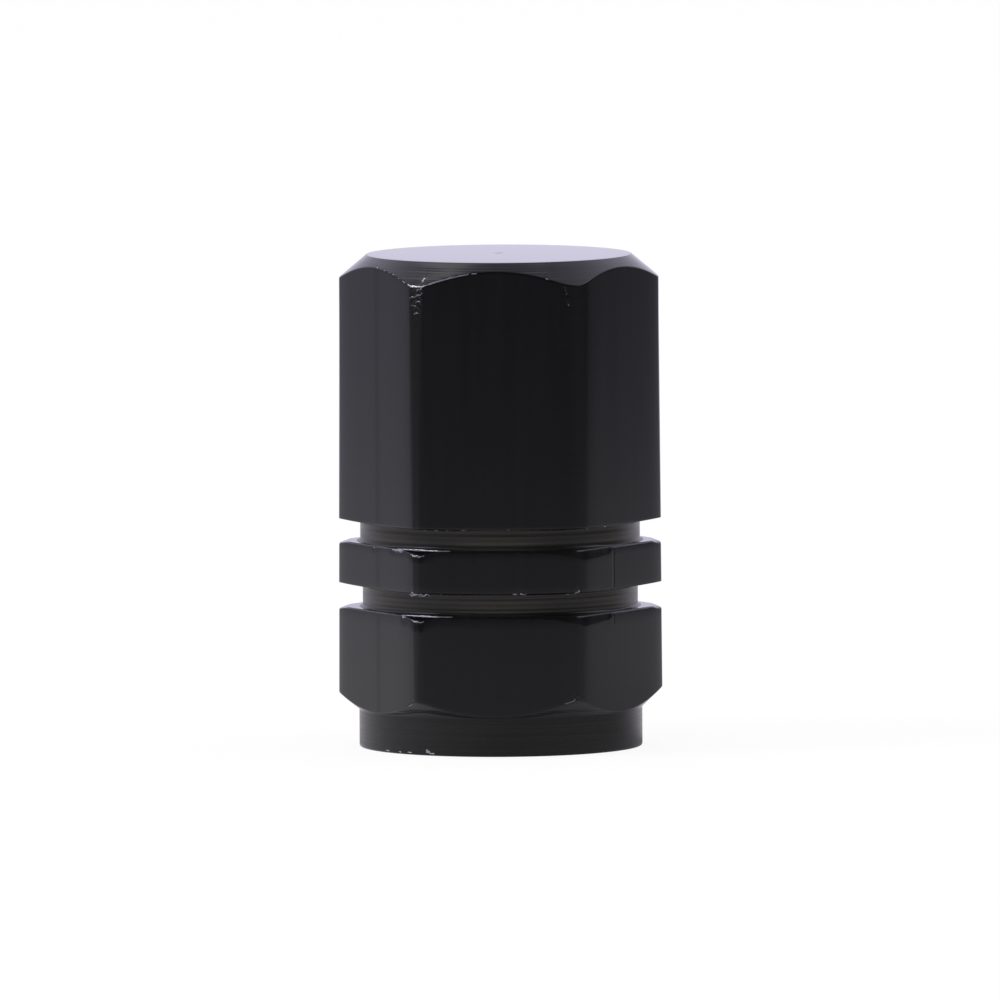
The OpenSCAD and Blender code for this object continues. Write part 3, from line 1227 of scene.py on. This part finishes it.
@dataclass(frozen=True)
class Anodised:
    """Black anodised aluminium: a clear, hard film over a black dyed one that hides the metal.

    Args:
        name: The material's name.
        colour: Colour of the dye in the film.
        worn_colour: Its colour where the marks stand high and the film is thin.
        roughness: Roughness of the film.
        roughness_spread: How much the roughness varies.
        bare_colour: Colour of the metal where the film is off.
        bare_roughness: Roughness of the metal.
        chip: Size of the chips that the film breaks into at a nick, in millimetres.
        ragged: How ragged the film's edge is there.
        film_ends: Where on that edge the film ends.
        metal_starts: Where on it the metal is wholly bare.
        thin_from: Height of the marks, as a share, from which the film is thin.
        thin_to: Height at which it is thinnest.
    """

    name: str
    colour: str
    worn_colour: str
    roughness: float
    roughness_spread: float
    bare_colour: str = "#c8c6d2"
    bare_roughness: float = 0.34
    # Real chips are mostly smaller. These are two pixels wide, so that the edge of a nick shows as ragged.
    chip: float = 0.0625
    ragged: float = 0.9
    film_ends: float = 0.52
    metal_starts: float = 0.64
    thin_from: float = 0.35
    thin_to: float = 0.65

    def marks(self, tree: bpy.types.NodeTree) -> Marks:
        """The tool marks of this finish, which each kind of surface draws for itself."""
        raise NotImplementedError

    def material(self) -> bpy.types.Material:
        """Build the material.

        Returns:
            The material.
        """
        made = bpy.data.materials.new(self.name)
        made.use_nodes = True
        tree = made.node_tree
        tree.nodes.clear()
        tool = self.marks(tree)
        marks = add_node(tree, "ShaderNodeBump", {
            "Height": tool.height, "Distance": tool.depth * MM, "Strength": 1.0})
        place = add_node(tree, "ShaderNodeTexCoord")
        grain = add_node(tree, "ShaderNodeTexNoise", {
            "Vector": place.outputs["Object"], "Scale": 1 / (self.chip * MM), "Detail": 2.0})
        worn = add_node(tree, "ShaderNodeAttribute", attribute_name=BARE_ATTRIBUTE)
        broken = add_node(tree, "ShaderNodeMath", {
            0: grain.outputs["Fac"], 1: self.ragged, 2: -self.ragged / 2}, operation="MULTIPLY_ADD")
        edge = add_node(tree, "ShaderNodeMath", {0: worn.outputs["Fac"], 1: broken.outputs[0]})
        bare = add_node(tree, "ShaderNodeMapRange", {
            "Value": edge.outputs[0], "From Min": self.film_ends, "From Max": self.metal_starts})
        thin = add_node(tree, "ShaderNodeMapRange", {
            "Value": tool.pattern, "From Min": self.thin_from, "From Max": self.thin_to})
        dye = add_node(tree, "ShaderNodeMix", {
            0: thin.outputs["Result"], 6: linear(self.colour), 7: linear(self.worn_colour)},
            data_type="RGBA")
        colour = add_node(tree, "ShaderNodeMix", {
            0: bare.outputs["Result"], 6: dye.outputs[2], 7: linear(self.bare_colour)},
            data_type="RGBA")
        smooth = add_node(tree, "ShaderNodeMapRange", {
            "Value": tool.pattern, "To Min": self.roughness - self.roughness_spread,
            "To Max": self.roughness + self.roughness_spread})
        rough = add_node(tree, "ShaderNodeMix", {
            0: bare.outputs["Result"], 2: smooth.outputs["Result"], 3: self.bare_roughness},
            data_type="FLOAT")
        surface = add_node(tree, "ShaderNodeBsdfPrincipled", {
            "Base Color": colour.outputs[2], "Metallic": bare.outputs["Result"],
            "Roughness": rough.outputs[0], "Specular IOR Level": tool.gloss,
            "Normal": marks.outputs["Normal"]})
        add_node(tree, "ShaderNodeOutputMaterial", {"Surface": surface.outputs["BSDF"]})
        return made


@dataclass(frozen=True)
class DrawnFlat(Anodised):
    """The flats of the bar: broad, faint draw marks run up and down them, under a fine grain.

    Args:
        around_mm: Way round the bar.
        mark_w: Width of a draw mark.
        mark_l: Length of one.
        grain: Size of the grain that the bath etched.
        grain_share: How deep it is beside the draw marks.
        depth: Depth of the draw marks.
        die_lines: The lines that nicks in the die drew.
    """

    around_mm: float = 34.0
    # A pixel is 0.035 mm wide. Real draw marks and etched grain are mostly finer, so both are drawn coarser.
    mark_w: float = 0.35
    mark_l: float = 9.0
    grain: float = 0.07
    grain_share: float = 0.3
    depth: float = 0.001
    die_lines: tuple[DieLine, ...] = ()

    def marks(self, tree: bpy.types.NodeTree) -> Marks:
        """Make draw marks from noise that is stretched along the bar, with the die's own lines in it.

        Args:
            tree: The tree that the nodes go into.

        Returns:
            The marks.
        """
        surface = add_node(tree, "ShaderNodeUVMap", uv_map=SURFACE_MAP)
        stretched = add_node(tree, "ShaderNodeMapping", {
            "Vector": surface.outputs["UV"], "Scale": (1 / self.mark_w, 1 / self.mark_l, 1.0)})
        marks = add_node(tree, "ShaderNodeTexNoise", {
            "Vector": stretched.outputs["Vector"], "Scale": 1.0, "Detail": 2.0}, noise_dimensions="2D")
        etched = add_node(tree, "ShaderNodeTexNoise", {
            "Vector": surface.outputs["UV"], "Scale": 1 / self.grain, "Detail": 2.0}, noise_dimensions="2D")
        parts = add_node(tree, "ShaderNodeSeparateXYZ", {"Vector": surface.outputs["UV"]})
        total = add_node(tree, "ShaderNodeMath", {
            0: etched.outputs["Fac"], 1: self.grain_share, 2: marks.outputs["Fac"]},
            operation="MULTIPLY_ADD").outputs[0]
        gloss = 0.5
        for line in self.die_lines:
            middle = self.around_mm * (line.side + 0.5) / SIDES + line.offset
            away = add_node(tree, "ShaderNodeMath", {0: parts.outputs["X"], 1: middle}, operation="SUBTRACT")
            distance = add_node(tree, "ShaderNodeMath", {0: away.outputs[0]}, operation="ABSOLUTE")
            across = add_node(tree, "ShaderNodeMapRange", {
                "Value": distance.outputs[0], "From Min": 0.2 * line.width, "From Max": 0.6 * line.width,
                "To Min": 1.0, "To Max": 0.0}, interpolation_type="SMOOTHSTEP")
            above = add_node(tree, "ShaderNodeMath", {0: parts.outputs["Y"], 1: line.low},
                             operation="GREATER_THAN")
            below = add_node(tree, "ShaderNodeMath", {0: parts.outputs["Y"], 1: line.high},
                             operation="LESS_THAN")
            within = add_node(tree, "ShaderNodeMath", {0: above.outputs[0], 1: below.outputs[0]},
                              operation="MULTIPLY")
            cut = add_node(tree, "ShaderNodeMath", {0: across.outputs["Result"], 1: within.outputs[0]},
                           operation="MULTIPLY")
            total = add_node(tree, "ShaderNodeMath", {0: cut.outputs[0], 1: -line.depth, 2: total},
                             operation="MULTIPLY_ADD").outputs[0]
            gloss = add_node(tree, "ShaderNodeMath", {0: cut.outputs[0], 1: -0.5 * line.dull, 2: gloss},
                             operation="MULTIPLY_ADD").outputs[0]
        return Marks(total, marks.outputs["Fac"], self.depth, gloss)


@dataclass(frozen=True)
class TurnedFace(Anodised):
    """Turned surfaces: rings of the tool's feed run round them.

    Args:
        feed: Width of a ring.
        depth: Depth of the rings.
    """

    # A finishing cut feeds about a tenth of a millimetre a turn, which is three pixels.
    feed: float = 0.11
    depth: float = 0.0012

    def marks(self, tree: bpy.types.NodeTree) -> Marks:
        """Make feed rings from noise along the axis.

        Args:
            tree: The tree that the nodes go into.

        Returns:
            The marks.
        """
        place = add_node(tree, "ShaderNodeTexCoord")
        parts = add_node(tree, "ShaderNodeSeparateXYZ", {"Vector": place.outputs["Object"]})
        rings = add_node(tree, "ShaderNodeTexNoise", {
            "W": parts.outputs["Z"], "Scale": 1 / (self.feed * MM), "Detail": 2.0}, noise_dimensions="1D")
        return Marks(rings.outputs["Fac"], rings.outputs["Fac"], self.depth)


@dataclass(frozen=True)
class FacedTop(Anodised):
    """The top face: fine rings round its centre.

    Args:
        feed: Width of a ring.
        depth: Depth of the rings.
    """

    # The facing cut has the same feed as the other finishing cuts.
    feed: float = 0.11
    depth: float = 0.0003

    def marks(self, tree: bpy.types.NodeTree) -> Marks:
        """Make feed rings from noise along the radius.

        Args:
            tree: The tree that the nodes go into.

        Returns:
            The marks.
        """
        place = add_node(tree, "ShaderNodeTexCoord")
        flat = add_node(tree, "ShaderNodeVectorMath", {
            0: place.outputs["Object"], 1: (1.0, 1.0, 0.0)}, operation="MULTIPLY")
        radius = add_node(tree, "ShaderNodeVectorMath", {0: flat.outputs["Vector"]}, operation="LENGTH")
        rings = add_node(tree, "ShaderNodeTexNoise", {
            "W": radius.outputs["Value"], "Scale": 1 / (self.feed * MM), "Detail": 2.0},
            noise_dimensions="1D")
        return Marks(rings.outputs["Fac"], rings.outputs["Fac"], self.depth)


@dataclass(frozen=True)
class BareMetal:
    """Bare aluminium at a burr: bright, torn metal.

    Args:
        name: The material's name.
        colour: Colour of the metal.
        roughness: Its roughness.
        smoother: How much less it is at the bottom of a tear.
        rougher: How much more it is on top.
        tear: Size of one tear in its surface, in millimetres.
        tear_depth: Depth of one.
    """

    name: str = "bare_aluminium"
    colour: str = "#d2d0da"
    roughness: float = 0.3
    smoother: float = 0.08
    rougher: float = 0.12
    # Real tears are a few hundredths of a millimetre. These are a little over a pixel, so that they show.
    tear: float = 0.05
    tear_depth: float = 0.01

    def material(self) -> bpy.types.Material:
        """Build the material.

        Returns:
            The material.
        """
        made = bpy.data.materials.new(self.name)
        made.use_nodes = True
        tree = made.node_tree
        tree.nodes.clear()
        place = add_node(tree, "ShaderNodeTexCoord")
        torn = add_node(tree, "ShaderNodeTexNoise", {
            "Vector": place.outputs["Object"], "Scale": 1 / (self.tear * MM), "Detail": 2.0})
        marks = add_node(tree, "ShaderNodeBump", {
            "Height": torn.outputs["Fac"], "Distance": self.tear_depth * MM})
        shade = add_node(tree, "ShaderNodeMapRange", {
            "Value": torn.outputs["Fac"], "To Min": self.roughness - self.smoother,
            "To Max": self.roughness + self.rougher})
        surface = add_node(tree, "ShaderNodeBsdfPrincipled", {
            "Base Color": linear(self.colour), "Metallic": 1.0, "Roughness": shade.outputs["Result"],
            "Normal": marks.outputs["Normal"]})
        add_node(tree, "ShaderNodeOutputMaterial", {"Surface": surface.outputs["BSDF"]})
        return made


@dataclass(frozen=True)
class MouldedRubber:
    """Moulded nitrile rubber: dull black, with the fine grain of its mould and a grey bloom.

    Args:
        name: The material's name.
        colour: Colour of the rubber.
        bloom: Its colour where it has bloomed.
        roughness: Its roughness.
        roughness_spread: How much that varies with the bloom.
        grain: Size of the mould's grain, in millimetres.
        grain_depth: Depth of the grain.
        clouds_per_mm: How closely the patches of bloom follow each other.
    """

    name: str = "moulded_rubber"
    colour: str = "#1c1c1d"
    bloom: str = "#2b2b2c"
    roughness: float = 0.72
    roughness_spread: float = 0.08
    # A mould's own grain is a few hundredths of a millimetre. It is drawn coarser, so that it shows.
    grain: float = 0.12
    grain_depth: float = 0.004
    clouds_per_mm: float = 0.9

    def material(self) -> bpy.types.Material:
        """Build the material.

        Returns:
            The material.
        """
        made = bpy.data.materials.new(self.name)
        made.use_nodes = True
        tree = made.node_tree
        tree.nodes.clear()
        place = add_node(tree, "ShaderNodeTexCoord")
        grain = add_node(tree, "ShaderNodeTexNoise", {
            "Vector": place.outputs["Object"], "Scale": 1 / (self.grain * MM), "Detail": 3.0})
        marks = add_node(tree, "ShaderNodeBump", {
            "Height": grain.outputs["Fac"], "Distance": self.grain_depth * MM})
        cloud = add_node(tree, "ShaderNodeTexNoise", {
            "Vector": place.outputs["Object"], "Scale": self.clouds_per_mm / MM, "Detail": 2.0})
        colour = add_node(tree, "ShaderNodeMix", {
            0: cloud.outputs["Fac"], 6: linear(self.colour), 7: linear(self.bloom)}, data_type="RGBA")
        rough = add_node(tree, "ShaderNodeMapRange", {
            "Value": cloud.outputs["Fac"], "To Min": self.roughness - self.roughness_spread,
            "To Max": self.roughness + self.roughness_spread})
        surface = add_node(tree, "ShaderNodeBsdfPrincipled", {
            "Base Color": colour.outputs[2], "Roughness": rough.outputs["Result"],
            "Normal": marks.outputs["Normal"]})
        add_node(tree, "ShaderNodeOutputMaterial", {"Surface": surface.outputs["BSDF"]})
        return made


@dataclass(frozen=True)
class Heading:
    """How bright the studio looks in a polished surface in one level direction.

    Args:
        turn: The direction in degrees. Straight behind the cap is 0, and its right side is 90.
        far: Brightness of the studio's wall.
        near: Painted brightness that the floor close to the cap shows in a reflection.
    """

    turn: float
    far: float
    near: float


# The backdrop is the brightest side, the left wall is paler than the right one, and the front is dim. The
# levels were chosen so that each face mirrors as much light as it does in the photograph.
HEADINGS = (
    Heading(-180, 0.05, 0.4), Heading(-150, 0.14, 0.52), Heading(-119, 0.25, 0.68), Heading(-90, 0.38, 0.7),
    Heading(-59, 0.47, 0.72), Heading(-35, 0.8, 0.88), Heading(0, 1.2, 1.1), Heading(35, 0.8, 0.88),
    Heading(50, 0.48, 0.74), Heading(56, 0.3, 0.64), Heading(62, 0.1, 0.54), Heading(70, 0.04, 0.38),
    Heading(95, 0.12, 0.34), Heading(121, 0.14, 0.42), Heading(150, 0.1, 0.4), Heading(180, 0.05, 0.4))


@dataclass(frozen=True)
class Surround:
    """The studio as a polished surface mirrors it: a graded sky in the world, and a painted reflection on the
    floor, which glows in reflections in place of its own lit colour.

    Args:
        headings: Its brightness all the way round.
        peak: A level that no heading passes.
        near_mm: Distance up to which the floor has its near brightness.
        far_mm: Distance from which it has the wall's.
        high_dim: Brightness high up in front.
        high_bright: Brightness high up behind.
        high_from: Where the dim part ends, as the direction's share towards the back.
        high_to: Where the bright part starts.
        wall_top: Where the wall starts to give way to the ceiling, as the direction's share upwards.
        ceiling: Where the ceiling is reached.
        far_tint: Colour of the walls.
        near_tint: Colour of the painted reflection of the floor close to the cap.
    """

    headings: tuple[Heading, ...] = HEADINGS
    peak: float = 1.25
    near_mm: float = 50.0
    far_mm: float = 185.0
    high_dim: float = 0.03
    high_bright: float = 1.15
    high_from: float = -0.3
    high_to: float = 0.65
    wall_top: float = 0.25
    ceiling: float = 0.6
    far_tint: str = "#ece8ff"
    near_tint: str = "#f8f4fc"

    def ring(self, tree: bpy.types.NodeTree, direction: bpy.types.NodeSocket,
             levels: Sequence[float]) -> bpy.types.NodeSocket:
        """Brightness in a direction, blended between the headings on both sides of it.

        Args:
            tree: The tree that the nodes go into.
            direction: The direction.
            levels: The brightness at each heading.

        Returns:
            The socket that gives the brightness.
        """
        parts = add_node(tree, "ShaderNodeSeparateXYZ", {"Vector": direction})
        turn = add_node(tree, "ShaderNodeMath", {0: parts.outputs["X"], 1: parts.outputs["Y"]},
                        operation="ARCTAN2")
        share = add_node(tree, "ShaderNodeMapRange", {
            "Value": turn.outputs[0], "From Min": -math.pi, "From Max": math.pi})
        ramp = add_node(tree, "ShaderNodeValToRGB", {"Fac": share.outputs["Result"]})
        stops = ramp.color_ramp.elements
        for _ in range(len(levels) - 2):
            stops.new(1.0)
        for stop, heading, level in zip(stops, self.headings, levels):
            stop.position = heading.turn / 360 + 0.5
            stop.color = (level / self.peak, level / self.peak, level / self.peak, 1.0)
        bright = add_node(tree, "ShaderNodeMath", {0: ramp.outputs["Color"], 1: self.peak},
                          operation="MULTIPLY")
        return bright.outputs[0]

    def on_floor(self, tree: bpy.types.NodeTree,
                 place: bpy.types.NodeSocket) -> tuple[bpy.types.NodeSocket, bpy.types.NodeSocket]:
        """Colour and painted brightness of the floor as a reflection shows it, graded by heading and by
        distance from the cap.

        Args:
            tree: The tree that the nodes go into.
            place: The place on the floor.

        Returns:
            The sockets that give the colour and the brightness.
        """
        away = add_node(tree, "ShaderNodeVectorMath", {0: place}, operation="LENGTH")
        share = add_node(tree, "ShaderNodeMapRange", {
            "Value": away.outputs["Value"], "From Min": self.near_mm * MM, "From Max": self.far_mm * MM})
        bright = add_node(tree, "ShaderNodeMix", {
            0: share.outputs["Result"], 2: self.ring(tree, place, [h.near for h in self.headings]),
            3: self.ring(tree, place, [h.far for h in self.headings])}, data_type="FLOAT")
        tint = add_node(tree, "ShaderNodeMix", {
            0: share.outputs["Result"], 6: linear(self.near_tint), 7: linear(self.far_tint)},
            data_type="RGBA")
        return tint.outputs[2], bright.outputs[0]

    def in_air(self, tree: bpy.types.NodeTree, direction: bpy.types.NodeSocket) -> bpy.types.NodeSocket:
        """Brightness of the mirrored walls and ceiling.

        Args:
            tree: The tree that the nodes go into.
            direction: The direction, of length 1.

        Returns:
            The socket that gives the brightness.
        """
        parts = add_node(tree, "ShaderNodeSeparateXYZ", {"Vector": direction})
        high = add_node(tree, "ShaderNodeMapRange", {
            "Value": parts.outputs["Z"], "From Min": self.wall_top, "From Max": self.ceiling},
            interpolation_type="SMOOTHSTEP")
        overhead = add_node(tree, "ShaderNodeMapRange", {
            "Value": parts.outputs["Y"], "From Min": self.high_from, "From Max": self.high_to,
            "To Min": self.high_dim, "To Max": self.high_bright})
        bright = add_node(tree, "ShaderNodeMix", {
            0: high.outputs["Result"], 2: self.ring(tree, direction, [h.far for h in self.headings]),
            3: overhead.outputs["Result"]}, data_type="FLOAT")
        return bright.outputs[0]


@dataclass(frozen=True)
class Softbox:
    """One soft lamp.

    Args:
        name: Its name.
        place: Where it stands, in millimetres.
        size: Its width and height, in millimetres.
        radiance: Its brightness, where 1 is white.
    """

    name: str
    place: tuple[float, float, float]
    size: tuple[float, float]
    radiance: float

    def build(self) -> bpy.types.Object:
        """Hang the lamp, aimed at the cap.

        Returns:
            The lamp.
        """
        width, height = self.size[0] * MM, self.size[1] * MM
        light = bpy.data.lights.new(self.name, "AREA")
        light.shape = "RECTANGLE"
        light.size, light.size_y = width, height
        light.energy = self.radiance * math.pi * width * height
        lamp = bpy.data.objects.new(self.name, light)
        place = Vector(self.place) * MM
        lamp.matrix_world = Matrix.Translation(place) @ (-place).to_track_quat("-Z", "Y").to_matrix().to_4x4()
        bpy.context.scene.collection.objects.link(lamp)
        return lamp


@dataclass(frozen=True)
class Studio:
    """The pale floor, the surround, the lamps and the camera.

    Args:
        surround: How the studio looks in a reflection.
        lamps: The softboxes.
        room_light: Level of the light from all round.
        floor_half: Half the floor's width, in millimetres.
        floor_colour: The floor's colour.
        shadow_share: How much of the floor's look is its own lit colour, which keeps the shadow.
        distance: Distance from the camera to the cap.
        azimuth: How far the camera stands to the right of the front, in degrees.
        elevation: How far it stands above the level, in degrees.
        roll: How far it is rolled, in degrees.
        frame_mm: Width of the picture at the cap.
        sensor_mm: Width of the camera's sensor.
        aim: The point that it looks at.
    """

    surround: Surround = Surround()
    lamps: tuple[Softbox, ...] = (
        Softbox("left_softbox", (-420, -160, 420), (240, 240), 6.0),
        Softbox("right_softbox", (480, 60, 360), (300, 300), 0.9),
        Softbox("top_softbox", (-60, 260, 620), (420, 300), 1.0),
    )
    room_light: float = 0.78
    floor_half: float = 3000.0
    floor_colour: str = "#ffffff"
    shadow_share: float = 0.1
    distance: float = 1000.0
    azimuth: float = 1.4
    elevation: float = 4.5
    roll: float = 0.28
    frame_mm: float = 35.11
    sensor_mm: float = 36.0
    aim: tuple[float, float, float] = (0.004, 0.0, 8.63)

    def floor(self) -> bpy.types.Object:
        """Lay the floor.

        Returns:
            The floor.
        """
        half = self.floor_half * MM
        mesh = bpy.data.meshes.new("floor")
        mesh.from_pydata([(-half, -half, 0), (half, -half, 0), (half, half, 0), (-half, half, 0)], [],
                         [(0, 1, 2, 3)])
        mesh.materials.append(self.floor_paper())
        return new_object("floor", mesh)

    def floor_paper(self) -> bpy.types.Material:
        """Build white studio paper: plain and matt, and as bright as the backdrop, to the camera. In
        reflections it shows a painted reflection instead: a glow graded by heading and by distance from the
        cap.

        Returns:
            The material.
        """
        made = bpy.data.materials.new("white_studio_paper_painted_reflection")
        made.use_nodes = True
        tree = made.node_tree
        tree.nodes.clear()
        ray = add_node(tree, "ShaderNodeLightPath")
        paper = add_node(tree, "ShaderNodeBsdfDiffuse", {"Color": linear(self.floor_colour)})
        glow = add_node(tree, "ShaderNodeEmission", {"Color": (1, 1, 1, 1), "Strength": 1.0})
        seen = add_node(tree, "ShaderNodeMixShader", {
            0: self.shadow_share, 1: glow.outputs[0], 2: paper.outputs[0]})
        place = add_node(tree, "ShaderNodeNewGeometry")
        tint, bright = self.surround.on_floor(tree, place.outputs["Position"])
        # Painted reflection: in reflections the floor glows with the surround's brightness, graded by heading
        # and distance, in place of its own lit colour and shade.
        mirrored = add_node(tree, "ShaderNodeEmission", {"Color": tint, "Strength": bright})
        in_gloss = add_node(tree, "ShaderNodeMath", {
            0: ray.outputs["Is Glossy Ray"], 1: ray.outputs["Is Transmission Ray"]}, operation="MAXIMUM")
        lit = add_node(tree, "ShaderNodeMixShader", {
            0: in_gloss.outputs[0], 1: paper.outputs[0], 2: mirrored.outputs[0]})
        whole = add_node(tree, "ShaderNodeMixShader", {
            0: ray.outputs["Is Camera Ray"], 1: lit.outputs[0], 2: seen.outputs[0]})
        add_node(tree, "ShaderNodeOutputMaterial", {"Surface": whole.outputs[0]})
        return made

    def room(self) -> None:
        """Light the room from all round, and give a reflection its bright and dim sides."""
        world = bpy.data.worlds.new("studio_room")
        bpy.context.scene.world = world
        world.use_nodes = True
        tree = world.node_tree
        tree.nodes.clear()
        ray = add_node(tree, "ShaderNodeLightPath")
        sky = add_node(tree, "ShaderNodeTexCoord")
        mirrored = add_node(tree, "ShaderNodeBackground", {
            "Color": linear(self.surround.far_tint),
            "Strength": self.surround.in_air(tree, sky.outputs["Generated"])})
        plain = add_node(tree, "ShaderNodeBackground", {
            "Color": (1, 1, 1, 1), "Strength": self.room_light})
        white = add_node(tree, "ShaderNodeBackground", {"Color": (1, 1, 1, 1), "Strength": 1.0})
        in_gloss = add_node(tree, "ShaderNodeMath", {
            0: ray.outputs["Is Glossy Ray"], 1: ray.outputs["Is Transmission Ray"]}, operation="MAXIMUM")
        lit = add_node(tree, "ShaderNodeMixShader", {
            0: in_gloss.outputs[0], 1: plain.outputs[0], 2: mirrored.outputs[0]})
        whole = add_node(tree, "ShaderNodeMixShader", {
            0: ray.outputs["Is Camera Ray"], 1: lit.outputs[0], 2: white.outputs[0]})
        add_node(tree, "ShaderNodeOutputWorld", {"Surface": whole.outputs[0]})

    def camera(self) -> None:
        """Set the camera at the photograph's angle."""
        turn, rise, roll = (math.radians(a) for a in (self.azimuth, self.elevation, self.roll))
        back = Vector((math.sin(turn) * math.cos(rise), -math.cos(turn) * math.cos(rise), math.sin(rise)))
        right = Vector((math.cos(turn), math.sin(turn), 0))
        up = back.cross(right)
        rolled_right = right * math.cos(roll) - up * math.sin(roll)
        rolled_up = right * math.sin(roll) + up * math.cos(roll)
        lens = bpy.data.cameras.new("camera")
        lens.sensor_width = self.sensor_mm
        lens.lens = self.sensor_mm * self.distance / self.frame_mm
        lens.clip_start, lens.clip_end = 0.01, 20.0
        view = bpy.data.objects.new("camera", lens)
        axes = Matrix((rolled_right, rolled_up, back)).transposed().to_4x4()
        view.matrix_world = Matrix.Translation((Vector(self.aim) + back * self.distance) * MM) @ axes
        bpy.context.scene.collection.objects.link(view)
        bpy.context.scene.camera = view

    def build(self) -> None:
        """Set up the whole studio."""
        bpy.context.scene.view_settings.view_transform = "Standard"
        self.floor()
        self.room()
        for lamp in self.lamps:
            lamp.build()
        self.camera()


@dataclass
class ValveCap:
    """The whole cap, sized from the frame.

    Args:
        body: The turned body.
        seal: The rubber ring.
    """

    body: CapBody
    seal: SealRing

    @classmethod
    def from_frame(cls) -> "ValveCap":
        """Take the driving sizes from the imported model.

        Returns:
            The cap.
        """
        low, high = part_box("cap_body")
        ring_low, ring_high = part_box("seal_ring")
        mounts = {mount["name"]: mount for mount in frame["record"]["mounts"]}
        bar = DrawnBar(flat_r=high.y / MM, corner_r=high.x / MM)
        body = CapBody(bar=bar, height=high.z / MM, thread_r=mounts["valve_thread"]["dims"]["r_mm"])
        seal = SealRing(outer_r=ring_high.x / MM, low=ring_low.z / MM, high=ring_high.z / MM)
        return cls(body, seal)

    def finishes(self) -> list[bpy.types.Material]:
        """Build the body's materials.

        Returns:
            The materials, in the order of its finishes.
        """
        # Drawn bar keeps the die's fine straight marks, so a flat reflects softly, in faint upright streaks.
        drawn = DrawnFlat(
            "drawn_black_anodised_flat", "#0a0a0b", "#0c0c0d", 0.22, 0.02,
            around_mm=self.body.bar.perimeter, die_lines=(
                DieLine(side=5, offset=0.15, width=0.42, low=0.0, high=20.0, depth=0.5, dull=0.2),
                DieLine(side=1, offset=-0.63, width=0.14, low=5.6, high=7.3, depth=5.0, dull=0.5),
                DieLine(side=1, offset=-0.63, width=0.14, low=4.5, high=5.1, depth=5.0, dull=0.5)))
        # A finishing cut leaves close feed rings, which pull each highlight out along the axis.
        turned = TurnedFace("turned_black_anodised_face", "#0a0a0b", "#0c0c0c", 0.17, 0.04)
        # The chamfering tool cut coarser rings, which show as light and dark bands under the top.
        chamfered = TurnedFace("chamfered_black_anodised_edge", "#0a0a0b", "#121110", 0.16, 0.03,
                               feed=0.12, depth=0.008)
        # The narrow grooving tool chattered, so its rings are coarse and the dye looks brown on them.
        grooved = TurnedFace("grooved_black_anodised_floor", "#11100f", "#302d28", 0.34, 0.08,
                             feed=0.14, depth=0.007)
        # The skirt was turned with the same tool, but was handled more and lost less of its dye.
        skirt = TurnedFace("turned_black_anodised_skirt", "#0e0d0d", "#181715", 0.28, 0.06,
                           feed=0.14, depth=0.002)
        # A facing cut is the smoothest, so at a low angle the top mirrors the backdrop.
        faced = FacedTop("faced_black_anodised_top", "#0a0a0b", "#0c0c0d", 0.13, 0.02)
        # The bore was drilled and tapped, and the bath dyed it less evenly.
        bored = TurnedFace("bored_black_anodised_wall", "#121214", "#19191b", 0.42, 0.08,
                           feed=0.2, depth=0.003)
        return [finish.material() for finish in (drawn, turned, chamfered, grooved, skirt, faced, bored)]

    def build(self) -> None:
        """Make and place every piece."""
        finishes = self.finishes()
        body = self.body.build(finishes)
        thread = ValveThread(root_r=self.body.root_r, crest_r=self.body.thread_r,
                             start=self.body.thread_start, end=self.body.thread_end - self.body.thread_runout,
                             ).build(finishes[Finish.BORED.value])
        burrs = EdgeBurrs(self.body).build(BareMetal().material())
        seal = self.seal.build(MouldedRubber().material())
        for piece in (body, thread, burrs, seal):
            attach(piece, "root")
            log.info("%s: %d faces", piece.name, len(piece.data.polygons))
        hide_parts("cap_body")
        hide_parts("seal_ring")


def corners(box: Sequence[Sequence[float]]) -> list[list[float]]:
    """A box as plain lists of numbers."""
    return [[float(value) for value in corner] for corner in box]


def main() -> None:
    """Build the studio and the cap."""
    logging.basicConfig(level=logging.INFO, format="%(name)s %(message)s")
    Studio().build()
    ValveCap.from_frame().build()


if __name__ == "__main__":
    main()
